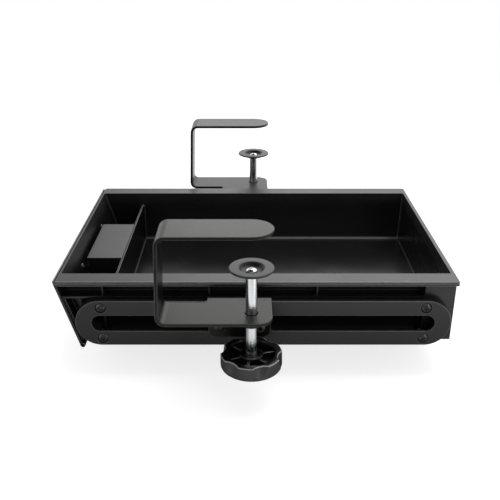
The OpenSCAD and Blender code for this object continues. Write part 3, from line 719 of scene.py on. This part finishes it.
# Rollers: two flanged wheels on each clamp, whose tread runs in the rail's slot.
# Turned from natural nylon, slightly waxy, with rounded tread edges.
def natural_nylon(name, dark, light):
    material, tree, skin, place = new_finish(name)
    cloud = mottled(tree, place, 350)
    edges = tree.nodes.new("ShaderNodeNewGeometry").outputs["Pointiness"]
    edge_lightening = reckon(tree, "MULTIPLY", edges, cloud)
    feed(tree, skin["Base Color"], mixed(tree, edge_lightening, (*dark, 1), (*light, 1)))
    feed(tree, skin["Roughness"], ranged(tree, cloud, 0.0, 1.0, 0.36, 0.52))
    raise_grain(tree, skin, cloud, 0.2, 0.00004)
    return material


nylon = natural_nylon("natural nylon", dark=(0.56, 0.54, 0.49), light=(0.74, 0.72, 0.66))
tread_r, bore_r, flange_t = 0.0076, 0.00305, 0.0033
recess_r, recess_depth = 0.0044, 0.0004
for side, out in (("right", -1), ("left", 1)):
    for end in ("front", "rear"):
        node = side + "_" + end + "_roller"
        low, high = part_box(node)
        width = high.y - low.y
        flange_r = (high.z - low.z) / 2
        wheel = turned("roller_pattern", [
            (bore_r, 0), (tread_r, 0), (tread_r, width - flange_t), (flange_r, width - flange_t),
            (flange_r, width), (recess_r + recess_depth, width), (recess_r, width - recess_depth),
            (bore_r, width - recess_depth), (bore_r, 0),
        ], 72)
        ease_edges(wheel, 0.0005, 3)
        base = ((low.x + high.x) / 2, low.y if out > 0 else high.y, (low.z + high.z) / 2)
        roller = put(wheel, side + "_" + end + "_wheel", base, (0, out, 0))
        bpy.data.objects.remove(wheel)
        hand_over(roller, nylon, node, node)


# Washers and lock nuts: they close each axle behind the rail, so the rail can't come off.
# Stamped and cold-formed steel, bright zinc plated.
zinc = bare_metal(
    "bright zinc plate", dark=(0.38, 0.39, 0.4), light=(0.72, 0.73, 0.74), gloss=0.3, uneven=0.06,
    mottle_and_reflection_stretch=(500, 500, 500), grain_depth=0.00003,
)
lock_nut_flats = 0.01
for side, out in (("right", -1), ("left", 1)):
    low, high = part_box(side + "_axle_washers")
    washer_r = (high.z - low.z) / 2
    thick = high.y - low.y
    ring = turned("washer_pattern", [
        (axle_r, 0), (washer_r, 0), (washer_r, thick), (axle_r, thick), (axle_r, 0),
    ])
    ease_edges(ring, 0.0002)
    base_y = low.y if out > 0 else high.y
    washers = [
        put(ring, "axle_washer", (x, base_y, (low.z + high.z) / 2), (0, out, 0))
        for x in (low.x + washer_r, high.x - washer_r)
    ]
    bpy.data.objects.remove(ring)
    pair = as_one(side + "_washer_pair", washers)
    hand_over(pair, zinc, side + "_clamp", side + "_axle_washers")

    low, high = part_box(side + "_lock_nuts")
    corner = lock_nut_flats / 2 / cos(pi / 6)
    pattern = hexagon_nut("lock_nut_pattern", lock_nut_flats, high.y - low.y, axle_r)
    base_y = low.y if out > 0 else high.y
    nuts = [
        put(pattern, "lock_nut", (x, base_y, (low.z + high.z) / 2), (0, out, 0))
        for x in (low.x + corner, high.x - corner)
    ]
    bpy.data.objects.remove(pattern)
    pair = as_one(side + "_lock_nut_pair", nuts)
    hand_over(pair, zinc, side + "_clamp", side + "_lock_nuts")


# Clamp screws: the bright spindles that push the pads up against the desk.
# Drawn bright steel with a very shallow, broad-crested thread of 1.5 mm pitch, and a spigot turned on top.
# Its colour runs in long stripes along the spindle: partly draw marks, partly painted reflections of the studio.
bright_steel = bare_metal(
    "drawn bright steel", dark=(0.5, 0.51, 0.53), light=(0.94, 0.95, 0.96), gloss=0.2, uneven=0.03,
    mottle_and_reflection_stretch=(330, 330, 3), grain_depth=0.000002, drawn=0.85,
)
pitch, crest, root = 0.0015, 0.005, 0.00499
thread = [(crest, 0.0), (crest, 0.66), (root, 0.78), (root, 0.88), (crest, 1.0)]
spigot_r, spigot_chamfer, rooted = 0.003, 0.0003, 0.001
for side in ("right", "left"):
    low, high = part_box(side + "_clamp_screw")
    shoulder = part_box(side + "_pad")[0].z - 0.0003
    rod = drawn_line(side + "_threaded_spindle", [(r, 0, low.z + (share - 1) * pitch) for r, share in thread])
    bpy.ops.object.mode_set(mode="OBJECT")
    helix = rod.modifiers.new("thread", "SCREW")
    helix.axis = "Z"
    helix.angle = 2 * pi
    helix.screw_offset = pitch
    helix.iterations = int((shoulder - low.z) / pitch) + 3
    helix.steps = helix.render_steps = 40
    helix.use_merge_vertices = True
    helix.merge_threshold = 0.000002
    bpy.ops.object.modifier_apply(modifier=helix.name)
    bpy.ops.object.mode_set(mode="EDIT")
    bpy.ops.mesh.select_all(action="SELECT")
    bpy.ops.mesh.remove_doubles(threshold=0.000002)
    bpy.ops.mesh.normals_make_consistent(inside=False)
    for z, outward in ((low.z, -1), (shoulder, 1)):
        bpy.ops.mesh.select_all(action="SELECT")
        bpy.ops.mesh.bisect(plane_co=(0, 0, z), plane_no=(0, 0, outward), use_fill=True, clear_outer=True)
    bpy.ops.object.mode_set(mode="OBJECT")
    bpy.ops.object.shade_smooth_by_angle(angle=radians(35))
    spigot = turned("spigot", [
        (0, shoulder - rooted), (spigot_r, shoulder - rooted), (spigot_r, high.z - spigot_chamfer),
        (spigot_r - spigot_chamfer, high.z), (0, high.z),
    ], 48)
    bpy.ops.object.shade_smooth_by_angle(angle=radians(35))
    rod = as_one(side + "_threaded_spindle", [rod, spigot])
    set_at(rod, middle(low, high, 0))
    hand_over(rod, bright_steel, side + "_screw", side + "_clamp_screw")


# Pads: the dished discs that press on the desk's underside and turn freely on the spigot.
# Moulded in satin black plastic, with a flat pressing face round a soft-edged recess.
pad_plastic = moulded_black(
    "satin black pad plastic", dark=0.0018, light=0.0035, wear_and_painted_highlight=0.03, gloss=0.38, specular=0.42,
    grain=1200, grain_depth=0.00004,
)
pad_bore, pad_hub, recess = 0.00305, 0.008, 0.0035
dish = [
    (0.0122, 0), (0.0115, 0.00008), (0.0109, 0.0003), (0.0104, 0.0007), (0.0099, 0.0013),
    (0.0093, 0.0021), (0.0086, 0.0028), (0.0077, 0.0033), (0.0068, recess), (pad_bore, recess),
]
for side in ("right", "left"):
    low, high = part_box(side + "_pad")
    r = (high.x - low.x) / 2
    top, foot = high.z, low.z
    under = [(pad_bore, foot), (pad_hub, foot), (r - 0.0022, top - 0.0022), (r, top - 0.0016)]
    edge = [(r, top - 0.0006), (r - 0.0006, top)]
    face = [(span, top - depth) for span, depth in dish]
    disc = turned(side + "_pressure_pad", under + edge + face + [(pad_bore, foot)], 96)
    ease_edges(disc, 0.0003, 3, 34)
    set_at(disc, middle(low, high, 0))
    hand_over(disc, pad_plastic, side + "_pad", side + "_pad")


# Pad screws: the domed cross-head screws in the pads' recesses, which keep the pads on the spigots.
# Cold-headed steel, left as bright as the spindle.
for side in ("right", "left"):
    low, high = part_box(side + "_pad_screw")
    head = cross_head(side + "_pad_keeper_screw", (high.x - low.x) / 2, high.z - low.z, 0.0015, 0.002)
    set_at(head, middle(low, high, low.z))
    hand_over(head, bright_steel, side + "_screw", side + "_pad_screw")


# Knobs: the fluted hand knobs on the spindles' lower ends, hollow above, with hub and ribs.
# Moulded in satin black plastic. The flutes are deepest at the top and run out at the bottom.
knob_plastic = moulded_black(
    "satin black knob plastic", dark=0.0016, light=0.003, wear_and_painted_highlight=0.3, gloss=0.28, specular=0.75, grain=900,
)
lobes, flute_r, flute_depth, flute_soft = 6, 0.013, 0.0033, 0.00008
knob_wall, hub, web = 0.0063, 0.0105, 0.004
rib_half, rib_top = 0.001, 0.0105
for side, out in (("right", -1), ("left", 1)):
    low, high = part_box(side + "_knob")
    foot, top = low.z, high.z
    tall = top - foot
    r = (high.x - low.x) / 2
    hollow = r - knob_wall
    turn = out * radians(41.5)
    outline = [(0, 0), (r - 0.0021, 0), (r - 0.0012, 0.0003), (r - 0.0005, 0.0009), (r - 0.0001, 0.0017)]
    outline += [(r, tall * share) for share in (0.2, 0.3, 0.42, 0.54, 0.66, 0.78, 0.88)]
    outline += [(r, tall - 0.0007), (r - 0.0001, tall - 0.0003), (r - 0.0003, tall - 0.0001), (r - 0.0007, tall)]
    outline += [(hollow + 0.0006, tall), (hollow + 0.0002, tall - 0.0002), (hollow, tall - 0.0006)]
    outline += [(hollow, web + 0.0006), (hollow - 0.0006, web), (hub + 0.0006, web), (hub, web + 0.0006)]
    outline += [(hub, tall - 0.0014), (hub - 0.0004, tall - 0.001), (hub - 0.001, tall - 0.001), (0, tall - 0.001)]
    knob = turned(side + "_fluted_knob", [(span, z + foot) for span, z in outline], 360)
    for corner in knob.data.vertices:
        span = hypot(corner.co.x, corner.co.y)
        if span < r - 0.0025:
            continue
        away = r + flute_r - flute_depth * (corner.co.z - foot) / tall
        angle = (atan2(corner.co.y, corner.co.x) - turn) % (2 * pi / lobes) - pi / lobes
        across = away * sin(angle)
        if abs(across) >= flute_r:
            continue
        sink = r - (away * cos(angle) - sqrt(flute_r ** 2 - across ** 2))
        if sink > -0.005:
            sink = 0.5 * (sink + sqrt(sink ** 2 + flute_soft ** 2))
            corner.co.x *= (span - sink) / span
            corner.co.y *= (span - sink) / span
    alone(knob)
    bpy.ops.object.shade_smooth_by_angle(angle=radians(30))
    # The eased top edges of the flutes get the lighter edge colour as a painted highlight along the scalloped top.
    marks = knob.data.attributes.new("wear_and_painted_highlight", "FLOAT", "FACE").data
    for face in knob.data.polygons:
        on_top = face.center.z > top - 0.0007 and hypot(face.center.x, face.center.y) > hollow + 0.001
        if on_top and abs(face.normal.z) < 0.98:
            marks[face.index].value = 1.0
    rib_low = (hub - 0.0006, -rib_half, foot + web - 0.0002)
    rib_high = (hollow + 0.0004, rib_half, foot + rib_top)
    rib = block("rib_pattern", rib_low, rib_high)
    ease_edges(rib, 0.0003)
    ribs = [put(rib, "knob_rib", (0, 0, 0), (0, 0, 1), turn + i * 2 * pi / lobes) for i in range(lobes)]
    bpy.data.objects.remove(rib)
    knob = as_one(side + "_fluted_knob", [knob] + ribs)
    set_at(knob, middle(low, high, 0))
    hand_over(knob, knob_plastic, side + "_screw", side + "_knob")


# Jam nuts: the hexagon nuts set in the knobs' hubs, which lock the spindles to the knobs.
# Cold-formed steel, black zinc plated, pressed in flush with the hub.
black_zinc = bare_metal(
    "black zinc plate", dark=(0.004, 0.004, 0.005), light=(0.03, 0.03, 0.032), gloss=0.3, uneven=0.06,
    mottle_and_reflection_stretch=(500, 500, 500), grain_depth=0.00003,
)
for side in ("right", "left"):
    low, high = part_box(side + "_jam_nut")
    pattern = hexagon_nut("jam_nut_pattern", high.y - low.y, high.z - low.z, crest)
    nut = put(pattern, side + "_hub_nut", middle(low, high, low.z), (0, 0, 1))
    bpy.data.objects.remove(pattern)
    hand_over(nut, black_zinc, side + "_screw", side + "_jam_nut")


# Studio: a white sweep under the drawer, fading into a white room, with soft light from above.
# The sweep stays white where no shadow falls, and keeps the soft shadow under the drawer.
# It lies low enough to clear the knobs when the screws are run right down.
sweep_z, sweep_r = -0.028, 2.2
bpy.ops.object.select_all(action="DESELECT")
bpy.ops.mesh.primitive_circle_add(vertices=96, radius=sweep_r, fill_type="NGON", location=(0, 0, sweep_z))
sweep = bpy.context.object
sweep.name = "white_sweep"
paper, tree, _, place = new_finish("white paper")
tree.nodes.remove(tree.nodes["Principled BSDF"])
ray = tree.nodes.new("ShaderNodeLightPath").outputs
spot = tree.nodes.new("ShaderNodeSeparateXYZ")
tree.links.new(place, spot.inputs["Vector"])
shown = reckon(tree, "MAXIMUM", ray["Is Camera Ray"], ray["Is Transmission Ray"])
shown_or_mirrored = reckon(tree, "MAXIMUM", shown, ray["Is Glossy Ray"])

# Seen in reflections the sweep's glow is painted: none under and around the drawer, less to the left and far in
# front, so the black faces mirror painted shade there.
past_ends = ranged(tree, reckon(tree, "ABSOLUTE", spot.outputs["X"]), 0.17, 0.4, 0.0, 1.0, "SMOOTHSTEP")
past_sides = ranged(tree, reckon(tree, "ABSOLUTE", spot.outputs["Y"]), 0.165, 0.365, 0.0, 1.3, "SMOOTHSTEP")
from_left = ranged(tree, spot.outputs["X"], -0.4, 0.1, 0.35, 1.0, "SMOOTHSTEP")
from_near = ranged(tree, spot.outputs["Y"], -0.6, -0.34, 0.13, 1.0, "SMOOTHSTEP")
painted_reflection_level = reckon(tree, "MULTIPLY", reckon(tree, "MAXIMUM", past_ends, past_sides), from_left)
painted_reflection_level = reckon(tree, "MULTIPLY", painted_reflection_level, from_near)
painted_reflection_glow = reckon(tree, "MULTIPLY", painted_reflection_level, ray["Is Glossy Ray"])
glow = reckon(tree, "MAXIMUM", painted_reflection_glow, reckon(tree, "MULTIPLY", shown, 1.22))
paleness = reckon(tree, "MAXIMUM", reckon(tree, "MULTIPLY", from_near, 0.5), reckon(tree, "MULTIPLY", shown, 0.5))
matt = tree.nodes.new("ShaderNodeBsdfDiffuse")
feed(tree, matt.inputs["Color"], mixed(tree, shown_or_mirrored, grey(0.86), paleness))
lift = tree.nodes.new("ShaderNodeEmission")
feed(tree, lift.inputs["Strength"], reckon(tree, "MULTIPLY", glow, 0.62))
lifted = tree.nodes.new("ShaderNodeAddShader")
tree.links.new(matt.outputs["BSDF"], lifted.inputs[0])
tree.links.new(lift.outputs["Emission"], lifted.inputs[1])
far = tree.nodes.new("ShaderNodeVectorMath")
far.operation = "LENGTH"
tree.links.new(place, far.inputs[0])
clear = tree.nodes.new("ShaderNodeBsdfTransparent")
fade = tree.nodes.new("ShaderNodeMixShader")
feed(tree, fade.inputs["Fac"], ranged(tree, far.outputs["Value"], 0.55, 1.5))
tree.links.new(lifted.outputs["Shader"], fade.inputs[1])
tree.links.new(clear.outputs["BSDF"], fade.inputs[2])
tree.links.new(fade.outputs["Shader"], tree.nodes["Material Output"].inputs["Surface"])
sweep.data.materials.append(paper)
sweep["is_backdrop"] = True

room = bpy.data.worlds.new("white room")
room.use_nodes = True
bpy.context.scene.world = room
tree = room.node_tree
air = tree.nodes["Background"]
air.inputs["Color"].default_value = grey(1)
ray = tree.nodes.new("ShaderNodeLightPath").outputs
way = tree.nodes.new("ShaderNodeSeparateXYZ")
tree.links.new(tree.nodes.new("ShaderNodeTexCoord").outputs["Generated"], way.inputs["Vector"])
above = ranged(tree, way.outputs["Z"], -0.35, 0.02, 0.0, 1.0, "SMOOTHSTEP")
nearer = ranged(tree, way.outputs["Y"], 0.35, -0.35, 0.0, 0.75, "SMOOTHSTEP")
overhead = ranged(tree, way.outputs["Z"], 0.1, 0.45, 1.0, 0.6, "SMOOTHSTEP")
gloom = reckon(tree, "MULTIPLY", reckon(tree, "MULTIPLY", above, nearer), overhead)
level = mixed(tree, ray["Is Glossy Ray"], 0.5, reckon(tree, "SUBTRACT", 1.0, gloom), "FLOAT")
shown = reckon(tree, "MAXIMUM", ray["Is Camera Ray"], ray["Is Transmission Ray"])
feed(tree, air.inputs["Strength"], reckon(tree, "MAXIMUM", level, shown))


def softbox(name, at, aim, wide, tall, power):
    bpy.ops.object.select_all(action="DESELECT")
    bpy.ops.object.light_add(type="AREA", location=at)
    lamp = bpy.context.object
    lamp.name = name
    lamp.data.shape = "RECTANGLE"
    lamp.data.size = wide
    lamp.data.size_y = tall
    lamp.data.energy = power
    lamp.rotation_euler = (Vector(aim) - Vector(at)).to_track_quat("-Z", "Y").to_euler()


near_clamp = (0, -0.17, 0.07)
softbox("overhead softbox", (0.25, 0.1, 1.3), (0, 0, 0), wide=1.0, tall=1.0, power=9)
softbox("back softbox", (0.4, 1.3, 0.9), (0, 0, 0.05), wide=1.6, tall=0.8, power=6.3)
softbox("left strip", (-0.9, -0.62, 0.3), near_clamp, wide=0.2, tall=0.8, power=1.2)
softbox("right strip", (0.75, -0.75, 0.3), near_clamp, wide=0.2, tall=0.8, power=1.2)

stand, tilt = (-0.00857, -0.690, 0.3562), radians(65.6)
bpy.ops.object.camera_add(location=stand, rotation=(tilt, 0, 0))
camera = bpy.context.object
camera.data.sensor_width = 36
camera.data.lens = 50.4
camera.data.shift_x = 0.0072
bpy.context.scene.camera = camera
bpy.context.scene.view_settings.view_transform = "Standard"

low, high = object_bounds()
